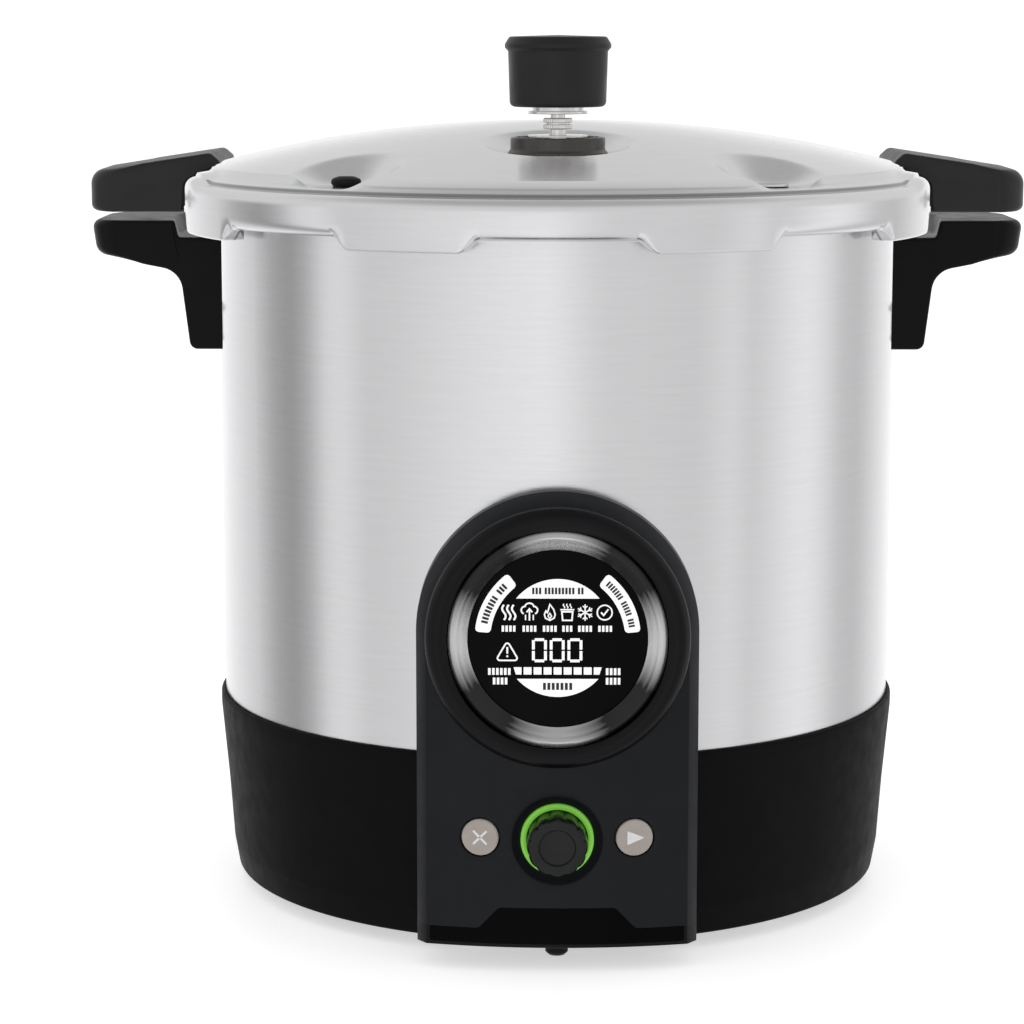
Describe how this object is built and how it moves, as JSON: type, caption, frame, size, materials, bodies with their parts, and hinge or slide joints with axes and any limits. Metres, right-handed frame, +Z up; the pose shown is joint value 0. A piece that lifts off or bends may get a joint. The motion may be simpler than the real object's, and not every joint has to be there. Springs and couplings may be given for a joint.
{
  "type": "pressure canner",
  "caption": "Electric digital pressure canner: aluminium pot fixed on a heated base with a round control panel, twist-lock cover, weighted regulator and side handles.",
  "frame": {"origin": "on the floor plane under the pot's axis", "axes": "+Z up, -Y towards the control panel, +X towards the handle on the viewer's right; the handles point along X"},
  "size_m": [0.398, 0.339, 0.3658],
  "materials": {
    "aluminium_sheet": "satin, brushed round the axis",
    "aluminium_cast": "matte",
    "steel": "satin",
    "plated_metal": "polished",
    "dark_metal": "satin",
    "brass": "satin",
    "light_plastic": "matte",
    "board": "satin",
    "black_plastic": "matte, fine grain",
    "panel_plastic": "matte, fine grain",
    "ring_plastic": "satin",
    "gloss_black": "glossy",
    "bezel_metal": "polished, spun",
    "lens": "glossy",
    "green_light": "translucent, lit green",
    "dial_plastic": "satin",
    "key_plastic": "satin",
    "handle_plastic": "matte",
    "black_rubber": "matte",
    "wire_rubber": "satin"
  },
  "bodies": {
    "canner_body": {"pot": "aluminium_sheet", "lock_bracket": "steel", "lock_bracket_rivets": "steel", "jar_rack": "aluminium_sheet", "base_housing": "black_plastic", "bottom_plate": "black_plastic", "rubber_feet": "black_rubber", "bottom_screws": "steel", "heat_plate": "aluminium_cast", "heating_element": "steel", "element_terminals": "brass", "heat_shield": "steel", "thermostat": "steel", "thermal_fuse": "light_plastic", "sensor_holder": "steel", "sensor_probe": "steel", "sensor_spring": "steel", "pot_studs": "steel", "stud_nuts": "steel", "mounting_ring": "steel", "power_board": "board", "power_relay": "light_plastic", "terminal_block": "light_plastic", "power_inlet": "black_plastic", "inlet_pins": "plated_metal", "wiring": "wire_rubber", "panel_housing": "panel_plastic", "front_fascia": "panel_plastic", "bottom_trim": "gloss_black", "display_ring": "ring_plastic", "bezel_ring": "bezel_metal", "display_lens": "lens", "display_module": "light_plastic", "control_board": "board", "board_screws": "steel", "dial_encoder": "steel", "tact_switches": "black_plastic", "light_ring": "green_light", "body_handle_left": "handle_plastic", "body_handle_right": "handle_plastic", "body_handle_brackets": "steel", "body_handle_screws": "steel"},
    "sealing_ring": {"sealing_ring": "black_rubber"},
    "cover": {"cover": "aluminium_sheet", "cover_handle_left": "handle_plastic", "cover_handle_right": "handle_plastic", "cover_handle_brackets": "steel", "cover_handle_screws": "steel", "vent_pipe": "plated_metal", "vent_lock_nut": "steel", "vent_washer": "plated_metal", "vent_collar": "dark_metal", "overpressure_plug": "black_rubber", "lock_grommet": "black_rubber"},
    "cover_lock": {"cover_lock_pin": "plated_metal"},
    "regulator": {"regulator_cap": "handle_plastic", "regulator_weight": "plated_metal"},
    "dial": {"dial_knob": "dial_plastic"},
    "cancel_key": {"cancel_button": "key_plastic"},
    "start_key": {"start_button": "key_plastic"}
  },
  "joints": [
    {"name": "cover_lift", "type": "slide", "parent": "canner_body", "child": "sealing_ring", "axis": [0, 0, 1], "range_m": [0, 0.24]},
    {"name": "cover_turn", "type": "hinge", "parent": "sealing_ring", "child": "cover", "pos_m": [0, 0, 0.3], "axis": [0, 0, 1], "range_deg": [0, 22.5]},
    {"name": "regulator_lift", "type": "slide", "parent": "cover", "child": "regulator", "axis": [0, 0, 1], "range_m": [0, 0.03]},
    {"name": "cover_lock_rise", "type": "slide", "parent": "cover", "child": "cover_lock", "axis": [0, 0, 1], "range_m": [0, 0.0045]},
    {"name": "dial_turn", "type": "hinge", "parent": "canner_body", "child": "dial", "pos_m": [0, -0.165, 0.0538], "axis": [0, -1, 0], "continuous": true},
    {"name": "cancel_press", "type": "slide", "parent": "canner_body", "child": "cancel_key", "axis": [0.1377, 0.9905, 0], "range_m": [0, 0.0012], "stiffness_N_per_m": 1500},
    {"name": "start_press", "type": "slide", "parent": "canner_body", "child": "start_key", "axis": [-0.1377, 0.9905, 0], "range_m": [0, 0.0012], "stiffness_N_per_m": 1500}
  ]
}
